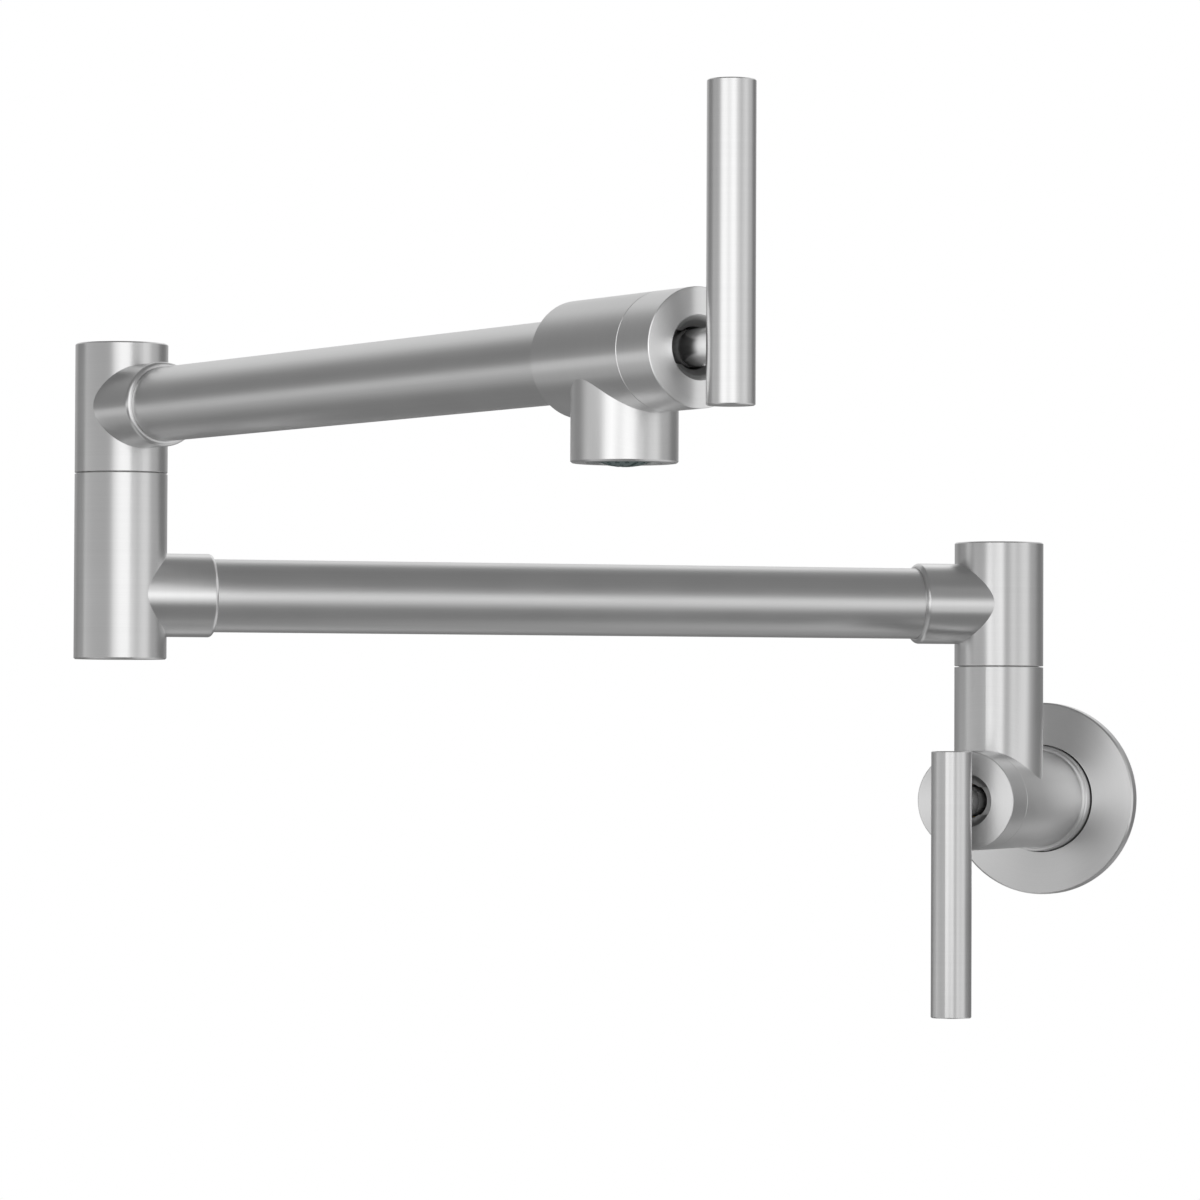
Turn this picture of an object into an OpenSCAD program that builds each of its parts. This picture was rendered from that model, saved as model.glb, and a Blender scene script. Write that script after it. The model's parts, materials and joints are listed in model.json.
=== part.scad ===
// Wall mounted pot filler with a double-jointed arm and two quarter-turn valves.
// The origin is the centre of the supply inlet in the wall plane. The wall is on
// the +Y side, +Z is up, and +X is to the right for someone who faces the wall.

/* [Reach and height] */
// Length of each arm: from wall post to elbow, and from elbow to spout
arm_length = 281.5; // [200:0.5:400]
// Distance from the wall to the axis of the wall post
wall_to_post = 50.5; // [47:0.5:90]
// Height of the wall swivel's joint above the inlet axis
post_height = 42.2; // [38:0.1:70]
// Height from the lower arm's axis to the upper arm's
arm_rise = 56.3; // [50:0.1:90]
// Height from the spout's outlet rim up to the upper arm's axis
spout_drop = 27.9; // [27:0.1:60]
// Angle between the wall and the lower arm, as placed
lower_arm_angle = 36.9; // [10:0.1:90]
// Angle between the wall and the upper arm, as placed
upper_arm_angle = 36.3; // [10:0.1:90]

/* [Posts and swivels] */
// Outside diameter of the posts and the spout
post_d = 28; // [27:0.1:30]
// Height of each swivel body
swivel_height = 39; // [37:0.5:50]
// Open seam between a swivel body and the post below it
seam = 0.3; // [0.2:0.05:0.8]
// Diameter of the hollow spigots that the swivels turn on
spigot_d = 17.8; // [16.5:0.1:18.4]
// Wall of a spigot where its seal grooves are deepest
spigot_wall = 1.5; // [1.2:0.1:2]
// Length of a spigot's threaded end in its post
spigot_thread = 14; // [10:0.5:15]
// Cord diameter of the rubber rings on the spigots
swivel_ring_cord = 1.8; // [1.5:0.1:2]
// Thickness of the slip ring under each swivel body
slip_ring_t = 1.2; // [1:0.1:2]
// Diameter of the screw that keeps a swivel on its spigot
stop_screw_d = 4; // [3:0.5:5]

/* [Arm tubes] */
// Outside diameter of the arm tubes
tube_d = 22.2; // [19:0.1:22.6]
// Wall of the arm tubes
tube_wall = 1.5; // [1:0.1:1.8]
// Wall of the sockets that the tubes stand in
socket_wall = 1.55; // [1.25:0.05:2]
// Distance from a post's axis to the end of its socket
socket_reach = 28; // [26:0.5:40]
// Depth of a tube in its socket
tube_seat = 12; // [8:0.5:13]
// Rounding of the outer edge of a socket
socket_round = 1.2; // [0.5:0.1:1.2]
// Diameter of the water way through the posts
port_d = 15; // [12:0.5:15.5]

/* [Valves] */
// Outside diameter of the two valve bodies
valve_d = 31; // [29:0.1:34]
// Distance from the post's or spout's axis to a valve's front face
cap_reach = 35; // [33:0.1:40]
// Length of the screwed cap in front of the seam
cap_length = 15.2; // [12:0.1:17]
// Diameter of the countersunk mouth in a cap
mouth_d = 16.8; // [14:0.1:20]
// Diameter of a cap's throat round the lever's neck
throat_d = 11; // [10.4:0.1:12.5]
// Depth of the countersink
mouth_depth = 2.9; // [1.5:0.1:4]
// Width of the two key slots that tighten a cap
key_slot_w = 8.6; // [6:0.1:10]
// Depth of the key slots
key_slot_depth = 5; // [3:0.1:6]
// Distance from a valve's seat forward to the post's or spout's axis
seat_back = 12; // [11.5:0.1:13]
// Distance from the spout's axis back to the head's rear face
head_back = 21.7; // [20:0.1:30]
// Diameter of the chamber round a cartridge
chamber_d = 22; // [21:0.1:23]
// Diameter of the thread that holds a cap in its body
cap_thread_d = 24.4; // [24:0.1:26]

/* [Levers] */
// Diameter of a lever's bar
bar_d = 12.5; // [11:0.1:14]
// Length of a bar on the long side of its neck
bar_long = 66.5; // [40:0.5:90]
// Length of a bar on the short side of its neck
bar_short = 15.4; // [10:0.1:25]
// Distance from a valve's front face to the bar's axis
bar_offset = 14.2; // [12:0.1:18]
// Bevel on the ends of a bar
bar_bevel = 0.3; // [0.2:0.1:1]
// Diameter of the neck between cartridge and bar
neck_d = 9.6; // [9:0.1:9.8]
// Depth of the neck in the bar
neck_seat = 5; // [3:0.1:6]
// Turn of a lever from shut to full flow
lever_travel = 90; // [80:1:90]

/* [Cartridges] */
// Outside diameter of a cartridge's sleeve
sleeve_d = 19; // [18.2:0.1:19.4]
// Inside diameter of a sleeve
sleeve_bore = 16.1; // [15.6:0.1:16.3]
// Thickness of each ceramic disc
disc_t = 2.8; // [2:0.1:3]
// Thickness of the rubber seal under the discs
seal_t = 2.4; // [2:0.1:2.8]
// Thickness of the spindle's driving foot
foot_t = 2.4; // [2:0.1:3]
// Thickness of the sleeve's flange
flange_t = 3.5; // [3:0.1:4]
// Length of the sleeve's neck in front of its flange
sleeve_neck = 5.5; // [4:0.1:6]
// Diameter of the spindle where it turns in the sleeve
stem_d = 8; // [7:0.1:8.4]
// Diameter of the spindle's end in the lever's neck
drive_d = 6; // [5.4:0.1:6.4]

/* [Wall plate and inlet] */
// Diameter of the wall plate
plate_d = 62; // [55:0.5:90]
// Thickness of the wall plate
plate_t = 4.5; // [4:0.1:8]
// Bevel round the front of the wall plate
plate_bevel = 0.5; // [0.2:0.1:1]
// Step from the wall valve's body out to its collar inside the wall plate
collar_step = 1.5; // [0.8:0.1:3]
// Height of the collar in front of the wall plate
collar_rise = 4.6; // [2:0.1:6]
// Open ring between the collar and the wall plate
plate_gap = 0.4; // [0.2:0.05:0.8]
// Pitch diameter of the pipe thread in the inlet, for a half inch pipe
inlet_d = 19.8; // [18:0.1:20.5]
// Depth of the pipe thread
inlet_depth = 15; // [12:0.5:16]
// Diameter of the water way from the inlet and arm to a valve's seat
seat_bore = 12; // [10:0.1:12.4]

/* [Aerator] */
// Diameter of the thread inside the spout's rim
aerator_d = 20; // [19:0.1:22]
// Height of the aerator's housing
aerator_height = 7.6; // [6:0.1:8]
// Depth from the spout's rim to the housing
aerator_recess = 0.8; // [0.4:0.1:1.2]
// Thickness of the washer above the housing
washer_t = 1.6; // [1.2:0.1:2]
// Height of the insert's domed face below the spout's rim
dome_drop = 0.95; // [0.4:0.05:1.5]

/* [Fits] */
// Radial clearance of every turning fit
run_fit = 0.05; // [0.02:0.01:0.08]
// Clearance of every seat that doesn't turn
seat_fit = 0.03; // [0.02:0.01:0.06]
// Edge break on turned edges
edge_break = 0.4; // [0.2:0.1:0.6]
// Finer edge break where two pieces meet in a seam
seam_break = 0.15; // [0.05:0.05:0.3]

/* [Hidden] */
$fn = 96;
overrun = 1;

// Finishes
satin_steel = [0.72, 0.72, 0.72];
screw_steel = [0.55, 0.56, 0.58];
brass = [0.78, 0.62, 0.34];
ceramic = [0.93, 0.92, 0.88];
black_rubber = [0.09, 0.09, 0.1];
white_slip = [0.95, 0.95, 0.93];
aerator_plastic = [0.36, 0.42, 0.42];

// Heights of the arms and the elbow's place
lower_z = post_height + swivel_height / 2;
upper_z = lower_z + arm_rise;
elbow_x = -arm_length * cos(lower_arm_angle);
elbow_y = -wall_to_post - arm_length * sin(lower_arm_angle);

// Radii shared by the posts and swivels
post_r = post_d / 2;
port_r = port_d / 2;
spigot_r = spigot_d / 2;
groove_r = spigot_r - swivel_ring_cord;
spigot_bore_r = groove_r - spigot_wall;
spigot_thread_step = 0.6;
spigot_thread_r = spigot_r + spigot_thread_step;
slip_ring_step = 1.4;
slip_ring_r = post_r - slip_ring_step;
slip_ring_bore_gap = 0.2;
tube_start = socket_reach - tube_seat;
socket_r = tube_d / 2 + socket_wall;

// Heights on a spigot, from the arm's axis
groove_play = 0.6;
groove_w = swivel_ring_cord + groove_play;
land = 2;
ring_groove_z = port_r + land;
stop_play = 0.4;
stop_point_share = 0.6;
stop_point_d = stop_screw_d * stop_point_share;
stop_groove_w = stop_point_d + 2 * stop_play;
stop_z = -(ring_groove_z + groove_w + land + stop_groove_w / 2);
stop_tip_gap = 0.3;
stop_sink = 0.5;
spigot_top = ring_groove_z + groove_w + land;
spigot_top_gap = 1;
swivel_foot = -swivel_height / 2;
slip_recess = slip_ring_t + run_fit - seam;
spigot_window_d = 7;
spigot_windows = 4;

// Places along a valve, forward from the post's or spout's axis
seam_w = cap_reach - cap_length;
ledge_gap = 0.5;
ledge_w = port_r + ledge_gap;
flange_front = ledge_w + flange_t;
sleeve_front = flange_front + sleeve_neck;
sleeve_lift = 0.4;
sleeve_back = -seat_back + sleeve_lift;
fixed_disc_w = -seat_back + seal_t;
moving_disc_w = fixed_disc_w + disc_t + run_fit;
foot_w = moving_disc_w + disc_t;
ceiling_t = 1;
ceiling_w = ledge_w - ceiling_t;
cartridge_window_w = (foot_w + foot_t + ceiling_w) / 2;
cartridge_window_d = 6.2;
cartridge_windows = 4;
valve_r = valve_d / 2;
chamber_r = chamber_d / 2;
cap_thread_r = cap_thread_d / 2;
flange_r = cap_thread_r - seat_fit;
sleeve_r = sleeve_d / 2;
sleeve_bore_r = sleeve_bore / 2;
sleeve_neck_wall = 2.8;
stem_r = stem_d / 2;
stem_bore_r = stem_r + run_fit;
sleeve_neck_r = stem_bore_r + sleeve_neck_wall;
drive_r = drive_d / 2;
neck_r = neck_d / 2;
cap_bore_gap = 0.6;
cap_bore_r = sleeve_neck_r + cap_bore_gap;

// Lever places
bar_w = cap_reach + bar_offset;
bar_r = bar_d / 2;
neck_top = bar_w - bar_r + neck_seat;
circlip_t = 0.8;
circlip_overlap = 1.4;
circlip_sink = 0.7;
circlip_mouth = 3.2;
neck_lift = 1.2;
clip_w = sleeve_front + run_fit;
neck_foot = clip_w + circlip_t + neck_lift;
cap_bore_end_gap = 2.5;
cap_bore_end = neck_foot + cap_bore_end_gap;
drive_top_wall = 5;
drive_top = neck_top - drive_top_wall;
drive_flat = 0.7;
grub_d = 3;
grub_w = (cap_reach + bar_w - bar_r) / 2;
grub_sink = 0.15;

// Cartridge details
port_inner_share = 0.32;
port_outer_share = 0.8;
port_angle = 36;
foot_width = 6.4;
foot_gap = 0.25;
tongue_w = 4.8;
tongue_h = 1;
tongue_play = 0.1;
lug_w = 3;
lug_step = 1.1;
lug_play = 0.05;
rib_t = 1.7;
stop_margin = 1.5;
stem_ring_cord = 1.4;
stem_ring_groove_w = 1.9;
stem_ring_w = (ceiling_w + sleeve_front) / 2;
flange_ring_cord = 1.3;
flange_ring_groove_w = 1.7;
seal_ring_t = 1.7;

// Wall plate details
collar_r = valve_d / 2 + collar_step;
plate_bore_r = collar_r + plate_gap;
boss_t = 4;
boss_r = plate_bore_r + boss_t;
rim_t = 3.5;
rim_r = plate_d / 2 - rim_t;
dish_share = 0.6;
dish_depth = plate_t * dish_share;
gasket_share = 0.75;
plate_ring_cord = 1.8;
plate_ring_groove_w = 2.2;
plate_ring_lift = 0.7;
cove = 0.7;
tube_back_wall = 3.2;

// Aerator details
aerator_depth = aerator_recess + aerator_height + washer_t;
housing_r = aerator_d / 2 - seat_fit;
housing_wall = 1.9;
insert_r = housing_r - housing_wall - seat_fit;
housing_notches = 8;
housing_notch_w = 2.2;
housing_notch_depth = 1.4;
insert_lift = 2.2;
insert_t = 3.4;
dome_share = [[0, -1], [0.25, -1], [0.53, -0.65], [0.95, 0.65]];
dome_slot_w = 1.2;
dome_slot_depth = 0.7;
jet_d = 1.2;
jet_rings_share = [[0.45, 8], [0.7, 14]];
screen_t = 0.5;
screen_gap = 0.6;
screen_hole_d = 1.3;
screen_rings_share = [[0, 1], [0.28, 6], [0.55, 12], [0.82, 18]];

// Places of the assemblies. In each of them +X runs along the arm or out of the valve.
module at_wall_valve() {
    translate([0, -wall_to_post, 0]) rotate([0, 0, -90]) children();
}

module at_lower_arm() {
    translate([0, -wall_to_post, lower_z]) rotate([0, 0, 180 + lower_arm_angle]) children();
}

module at_elbow_base() {
    at_lower_arm() translate([arm_length, 0, 0]) rotate([0, 0, 180]) children();
}

module at_upper_arm() {
    translate([elbow_x, elbow_y, upper_z]) rotate([0, 0, -upper_arm_angle]) children();
}

module at_head() {
    at_upper_arm() translate([arm_length, 0, 0]) children();
}

// A lever hangs down on the wall valve and stands up on the head.
module hanging() {
    rotate([180, 0, 0]) children();
}

// Turned forms
module along_x() {
    rotate([0, 90, 0]) children();
}

// Round bar or bore from one height to another, with a bevel at either end
module turned(r, z0, z1, bevel0 = 0, bevel1 = 0) {
    rotate_extrude()
        polygon([
            [0, z0], [r - bevel0, z0], [r, z0 + bevel0],
            [r, z1 - bevel1], [r - bevel1, z1], [0, z1]
        ]);
}

// Square-sided ring from one height to another
module ring(r_in, r_out, z0, z1) {
    rotate_extrude()
        translate([r_in, z0])
            square([r_out - r_in, z1 - z0]);
}

// Rubber ring of round cord whose inside lies on radius r_in
module cord_ring(r_in, cord, z) {
    rotate_extrude()
        translate([r_in + cord / 2, z])
            circle(d = cord, $fn = 32);
}

// Sector of a ring, centred on an angle
module sector(r_in, r_out, z0, z1, middle, spread) {
    rotate([0, 0, middle - spread / 2])
        rotate_extrude(angle = spread)
            translate([r_in, z0])
                square([r_out - r_in, z1 - z0]);
}

// Swivels
module swivel() {
    difference() {
        union() {
            turned(post_r, swivel_foot, -swivel_foot, seam_break, edge_break);
            socket();
        }
        turned(spigot_r + run_fit, swivel_foot - overrun, spigot_top + spigot_top_gap);
        tube_way();
        translate([0, 0, stop_z])
            rotate([0, -90, 0])
                turned(stop_screw_d / 2 + seat_fit, 0, post_d);
    }
}

// Socket for a tube, with its outer edge rounded
module socket() {
    along_x()
        rotate_extrude() {
            square([socket_r, socket_reach - socket_round]);
            square([socket_r - socket_round, socket_reach]);
            translate([socket_r - socket_round, socket_reach - socket_round])
                intersection() {
                    circle(r = socket_round, $fn = 24);
                    square(socket_round);
                }
        }
}

// Water way and counterbore for a tube in a socket
module tube_way() {
    along_x() turned(port_r, 0, socket_reach);
    along_x() turned(tube_d / 2 + seat_fit, tube_start, socket_reach + overrun);
}

// Threaded bore in the top of a post, with the recess for the slip ring
module post_mouth(top) {
    bottom = top - slip_recess - spigot_thread - seat_fit;
    turned(slip_ring_r + seat_fit, top - slip_recess, top + overrun);
    turned(spigot_thread_r + seat_fit, bottom, top);
}

module elbow_post() {
    top = arm_rise + swivel_foot - seam;
    difference() {
        union() {
            turned(post_r, swivel_foot, top, edge_break, seam_break);
            socket();
        }
        post_mouth(top);
        turned(port_r, -port_r, top);
        tube_way();
    }
}

// Hollow spigot, with its heights from the axis of the arm that it carries
module spigot() {
    shoulder = swivel_foot - seam - slip_recess;
    difference() {
        union() {
            turned(spigot_thread_r, shoulder - spigot_thread, shoulder, edge_break, 0);
            turned(spigot_r, shoulder - overrun, spigot_top, 0, edge_break);
        }
        turned(spigot_bore_r, shoulder - spigot_thread - overrun, port_r);
        ring(groove_r, post_r, -port_r, port_r);
        for (side = [-1, 1])
            translate([0, 0, side * (ring_groove_z + groove_w / 2)])
                ring(groove_r, post_r, -groove_w / 2, groove_w / 2);
        ring(groove_r, post_r, stop_z - stop_groove_w / 2, stop_z + stop_groove_w / 2);
        for (i = [0 : spigot_windows / 2 - 1])
            rotate([0, 0, i * 360 / spigot_windows])
                rotate([0, 90, 0])
                    cylinder(d = spigot_window_d, h = post_d, center = true);
    }
}

module spigot_rings() {
    for (side = [-1, 1])
        cord_ring(groove_r, swivel_ring_cord, side * (ring_groove_z + groove_w / 2));
}

module slip_ring() {
    top = swivel_foot - run_fit;
    ring(spigot_r + slip_ring_bore_gap, slip_ring_r, top - slip_ring_t, top);
}

// Grub screw whose point runs in the spigot's lowest groove
module swivel_screw() {
    head_r = post_r - stop_sink;
    body_r = spigot_r + stop_tip_gap;
    translate([0, 0, stop_z])
        rotate([0, -90, 0])
            difference() {
                union() {
                    turned(stop_screw_d / 2, body_r, head_r, 0, stop_sink / 2);
                    turned(stop_point_d / 2, groove_r + stop_tip_gap, body_r + overrun);
                }
                translate([0, 0, head_r - stop_screw_d / 2])
                    cylinder(d = stop_screw_d / 2, h = stop_screw_d, $fn = 6);
            }
}

// Arm tube from one place along its arm to another
module arm_tube(x0, x1) {
    along_x()
        difference() {
            turned(tube_d / 2, x0, x1, edge_break, edge_break);
            turned(tube_d / 2 - tube_wall, x0 - overrun, x1 + overrun);
        }
}

// Chamber, seat and threaded mouth in a valve body, with the water way to the seat
module valve_bores(way_start) {
    along_x() {
        turned(seat_bore / 2, way_start, 0);
        turned(chamber_r, -seat_back, seam_w);
        turned(cap_thread_r, ledge_w, seam_w + overrun);
    }
}

module wall_valve_body() {
    top = post_height - seam;
    plate_front = plate_t - wall_to_post;
    collar_front = plate_front + collar_rise;
    inlet_end = inlet_depth - wall_to_post;
    difference() {
        union() {
            along_x() turned(valve_r, -wall_to_post, seam_w, 0, seam_break);
            along_x() turned(collar_r, -wall_to_post, collar_front, 0, edge_break);
            along_x() ring_cove(valve_r, collar_front);
            turned(post_r, 0, top, 0, seam_break);
        }
        valve_bores(inlet_end - overrun);
        along_x() turned(inlet_d / 2, -wall_to_post - overrun, inlet_end);
        post_mouth(top);
        turned(port_r, 0, top);
    }
}

// Small cove in the corner between a body and its collar
module ring_cove(r, z) {
    rotate_extrude()
        difference() {
            translate([r - cove, z - cove])
                square([2 * cove, 2 * cove]);
            translate([r + cove, z + cove])
                circle(r = cove);
        }
}

module head_valve_body() {
    tube_end = -seat_back - tube_back_wall;
    difference() {
        union() {
            along_x() turned(valve_r, -head_back, seam_w, edge_break, seam_break);
            rotate([180, 0, 0]) turned(post_r, 0, spout_drop, 0, edge_break);
        }
        valve_bores(tube_end - overrun);
        along_x() turned(tube_d / 2 + seat_fit, -head_back - overrun, tube_end);
        rotate([180, 0, 0]) {
            turned(port_r, 0, spout_drop);
            turned(aerator_d / 2, spout_drop - aerator_depth, spout_drop + overrun);
        }
    }
}

// Screwed cap with a countersunk mouth and two key slots
module cap() {
    along_x()
        difference() {
            union() {
                turned(valve_r, seam_w + seat_fit, cap_reach, seam_break, edge_break / 2);
                turned(cap_thread_r - seat_fit, flange_front + seat_fit, seam_w + overrun, edge_break, 0);
            }
            turned(cap_bore_r, 0, cap_bore_end);
            turned(throat_d / 2, 0, cap_reach + overrun);
            mouth();
            intersection() {
                turned(mouth_d / 2, cap_reach - key_slot_depth, cap_reach + overrun);
                translate([-key_slot_w / 2, -mouth_d, 0])
                    cube([key_slot_w, 2 * mouth_d, cap_reach + 2 * overrun]);
            }
        }
}

module mouth() {
    slope = (mouth_d - throat_d) / 2 / mouth_depth;
    rotate_extrude()
        polygon([
            [0, cap_reach - mouth_depth],
            [throat_d / 2, cap_reach - mouth_depth],
            [mouth_d / 2 + overrun * slope, cap_reach + overrun],
            [0, cap_reach + overrun]
        ]);
}

// Cartridge
module sleeve() {
    groove_z = ledge_w + (flange_t - flange_ring_groove_w) / 2;
    lug_slot = lug_w + 2 * lug_play;
    along_x()
        difference() {
            union() {
                turned(sleeve_r, sleeve_back, ledge_w + overrun, edge_break, 0);
                turned(flange_r, ledge_w + seat_fit, flange_front);
                turned(sleeve_neck_r, ledge_w, sleeve_front, 0, edge_break);
            }
            sleeve_cavity();
            turned(stem_bore_r, 0, sleeve_front + overrun);
            ring(flange_r - flange_ring_cord, cap_thread_r, groove_z, groove_z + flange_ring_groove_w);
            for (i = [0 : cartridge_windows / 2 - 1])
                translate([0, 0, cartridge_window_w])
                    rotate([0, 0, i * 360 / cartridge_windows])
                        rotate([90, 0, 0])
                            cylinder(d = cartridge_window_d, h = chamber_d, center = true);
            translate([-chamber_r, -lug_slot / 2, sleeve_back - overrun])
                cube([chamber_d, lug_slot, moving_disc_w - sleeve_back + overrun]);
        }
}

// Bore of the sleeve, less the two ribs that stop the spindle's foot at either end of its turn
module sleeve_cavity() {
    foot_half = asin(foot_width / 2 / (sleeve_bore_r - rib_t));
    rib_middle = 180 + lever_travel / 2;
    rib_angle = 180 - lever_travel - 2 * (foot_half + stop_margin);
    difference() {
        turned(sleeve_bore_r, sleeve_back - overrun, ceiling_w);
        for (side = [0, 180])
            sector(sleeve_bore_r - rib_t, sleeve_r, foot_w, ledge_w, rib_middle + side, rib_angle);
    }
}

module sleeve_ring() {
    along_x() cord_ring(flange_r - flange_ring_cord, flange_ring_cord, ledge_w + flange_t / 2);
}

module seat_seal() {
    along_x()
        ring(
            sleeve_bore_r - seat_fit - seal_ring_t, sleeve_bore_r - seat_fit,
            -seat_back, fixed_disc_w
        );
}

module disc(z, turn) {
    difference() {
        turned(sleeve_bore_r - run_fit, z, z + disc_t);
        for (side = [0, 180])
            sector(
                sleeve_bore_r * port_inner_share, sleeve_bore_r * port_outer_share,
                z - overrun, z + disc_t + overrun, turn + side, 2 * port_angle
            );
    }
}

// Fixed disc, held by two lugs in the sleeve's slots
module fixed_disc() {
    lug_r = sleeve_bore_r + lug_step;
    along_x() {
        disc(fixed_disc_w, 90);
        for (side = [0, 180])
            rotate([0, 0, side])
                translate([sleeve_bore_r - lug_step, -lug_w / 2, fixed_disc_w])
                    cube([lug_r - sleeve_bore_r + lug_step, lug_w, disc_t]);
    }
}

// Moving disc, with a slot for the spindle's tongue
module moving_disc() {
    slot = tongue_w + 2 * tongue_play;
    along_x()
        difference() {
            disc(moving_disc_w, 0);
            translate([-slot / 2, -chamber_r, foot_w - tongue_h - tongue_play])
                cube([slot, chamber_d, disc_t]);
        }
}

// Spindle: a crossbar foot with its tongue, the stem, and a drive end with a flat
module spindle() {
    foot_r = sleeve_bore_r - foot_gap;
    shoulder = clip_w + circlip_t + neck_lift / 2;
    along_x()
        difference() {
            union() {
                intersection() {
                    turned(foot_r, foot_w, foot_w + foot_t);
                    translate([-foot_width / 2, -foot_r, foot_w - overrun])
                        cube([foot_width, 2 * foot_r, foot_t + 2 * overrun]);
                }
                intersection() {
                    turned(foot_r, foot_w - tongue_h, foot_w + overrun);
                    translate([-tongue_w / 2, -foot_r, foot_w - 2 * overrun])
                        cube([tongue_w, 2 * foot_r, foot_t + overrun]);
                }
                turned(stem_r, foot_w, shoulder, 0, edge_break);
                turned(drive_r, foot_w, drive_top, 0, edge_break);
            }
            translate([0, 0, stem_ring_w])
                ring(stem_r - stem_ring_cord, stem_d, -stem_ring_groove_w / 2, stem_ring_groove_w / 2);
            ring(stem_r - circlip_sink, stem_d, sleeve_front, clip_w + circlip_t + seat_fit);
            translate([drive_r - drive_flat, -drive_r, neck_foot])
                cube([drive_d, drive_d, drive_top]);
        }
}

module spindle_ring() {
    along_x() cord_ring(stem_r - stem_ring_cord, stem_ring_cord, stem_ring_w);
}

module circlip() {
    along_x()
        difference() {
            ring(stem_r - circlip_sink + seat_fit, stem_r + circlip_overlap, clip_w, clip_w + circlip_t);
            translate([0, -circlip_mouth / 2, 0])
                cube([stem_d, circlip_mouth, cap_reach]);
        }
}

// Lever
module lever_bar() {
    difference() {
        translate([bar_w, 0, 0]) turned(bar_r, -bar_short, bar_long, bar_bevel, bar_bevel);
        along_x() turned(neck_r + seat_fit, 0, neck_top + seat_fit);
    }
}

module lever_neck() {
    difference() {
        along_x() turned(neck_r, neck_foot, neck_top, edge_break, 0);
        along_x() turned(drive_r + seat_fit, 0, drive_top + seat_fit);
        translate([grub_w, 0, 0])
            rotate([180, 0, 0])
                cylinder(d = grub_d + 2 * seat_fit, h = neck_d);
    }
}

// Grub screw that presses on the flat of the spindle's drive end
module lever_screw() {
    flat_r = drive_r - drive_flat + seat_fit;
    translate([grub_w, 0, 0])
        rotate([180, 0, 0])
            difference() {
                turned(grub_d / 2, flat_r, neck_r - grub_sink);
                translate([0, 0, neck_r - grub_d / 2])
                    cylinder(d = grub_d / 2, h = grub_d, $fn = 6);
            }
}

// Wall plate, dished at the back, with a groove for the ring that grips the collar
module plate() {
    groove_end = plate_ring_lift + plate_ring_groove_w;
    translate([-wall_to_post, 0, 0])
        along_x()
            difference() {
                turned(plate_d / 2, 0, plate_t, 0, plate_bevel);
                turned(plate_bore_r, -overrun, plate_t + overrun);
                ring(boss_r, rim_r, -overrun, dish_depth);
                ring(collar_r, collar_r + plate_ring_cord, plate_ring_lift, groove_end);
            }
}

module plate_ring() {
    middle = plate_ring_lift + plate_ring_groove_w / 2;
    translate([-wall_to_post, 0, 0])
        along_x() cord_ring(collar_r + seat_fit, plate_ring_cord - 2 * seat_fit, middle);
}

// Foam gasket against the wall, inside the plate's rim
module plate_gasket() {
    outer = rim_r - seat_fit;
    width = (rim_r - boss_r) * gasket_share;
    translate([-wall_to_post, 0, 0])
        along_x() ring(outer - width, outer, 0, dish_depth - seat_fit);
}

// Aerator, with its heights from the spout's rim upwards
module at_rim() {
    translate([0, 0, -spout_drop]) children();
}

module housing() {
    difference() {
        ring(housing_r - housing_wall, housing_r, aerator_recess, aerator_recess + aerator_height);
        for (i = [0 : housing_notches - 1])
            rotate([0, 0, i * 360 / housing_notches])
                translate([housing_r - housing_wall / 2, -housing_notch_w / 2, 0])
                    cube([housing_wall, housing_notch_w, aerator_recess + housing_notch_depth]);
    }
}

// Insert with two rings of jets and a slotted dome that stands below the rim
module insert() {
    top = insert_lift + insert_t;
    difference() {
        rotate_extrude()
            polygon(concat(
                [for (p = dome_share) [insert_r * p[0], dome_drop * p[1]]],
                [[insert_r, insert_lift], [insert_r, top], [0, top]]
            ));
        for (turn = [0, 90])
            rotate([0, 0, turn])
                translate([-insert_r, -dome_slot_w / 2, -dome_drop - overrun])
                    cube([2 * insert_r, dome_slot_w, dome_slot_depth + overrun]);
        translate([0, 0, -dome_drop - overrun])
            for (row = jet_rings_share)
                hole_ring(insert_r * row[0], row[1], jet_d, top + dome_drop + 2 * overrun);
    }
}

// Holes evenly spaced on a circle, or one hole at its centre
module hole_ring(r, count, d, h) {
    for (i = [0 : count - 1])
        rotate([0, 0, i * 360 / count])
            translate([r, 0, 0])
                cylinder(d = d, h = h, $fn = 16);
}

module screen() {
    z = insert_lift + insert_t + screen_gap;
    difference() {
        turned(insert_r, z, z + screen_t);
        translate([0, 0, z - overrun])
            for (row = screen_rings_share)
                hole_ring(insert_r * row[0], row[1], screen_hole_d, screen_t + 2 * overrun);
    }
}

module washer() {
    z = aerator_recess + aerator_height;
    ring(port_r + seat_fit, housing_r, z + seat_fit, z + washer_t - seat_fit);
}

// Sub-parts
module wall_body() { color(satin_steel) at_wall_valve() wall_valve_body(); }
module wall_plate() { color(satin_steel) at_wall_valve() plate(); }
module wall_plate_gasket() { color(black_rubber) at_wall_valve() plate_gasket(); }
module wall_plate_ring() { color(black_rubber) at_wall_valve() plate_ring(); }
module wall_cap() { color(satin_steel) at_wall_valve() cap(); }
module wall_sleeve() { color(brass) at_wall_valve() sleeve(); }
module wall_fixed_disc() { color(ceramic) at_wall_valve() fixed_disc(); }
module wall_seat_seal() { color(black_rubber) at_wall_valve() seat_seal(); }
module wall_sleeve_ring() { color(black_rubber) at_wall_valve() sleeve_ring(); }
module wall_spigot() { color(brass) at_lower_arm() spigot(); }
module wall_spigot_rings() { color(black_rubber) at_lower_arm() spigot_rings(); }
module wall_slip_ring() { color(white_slip) at_lower_arm() slip_ring(); }
module wall_lever_bar() { color(satin_steel) at_wall_valve() hanging() lever_bar(); }
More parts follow.
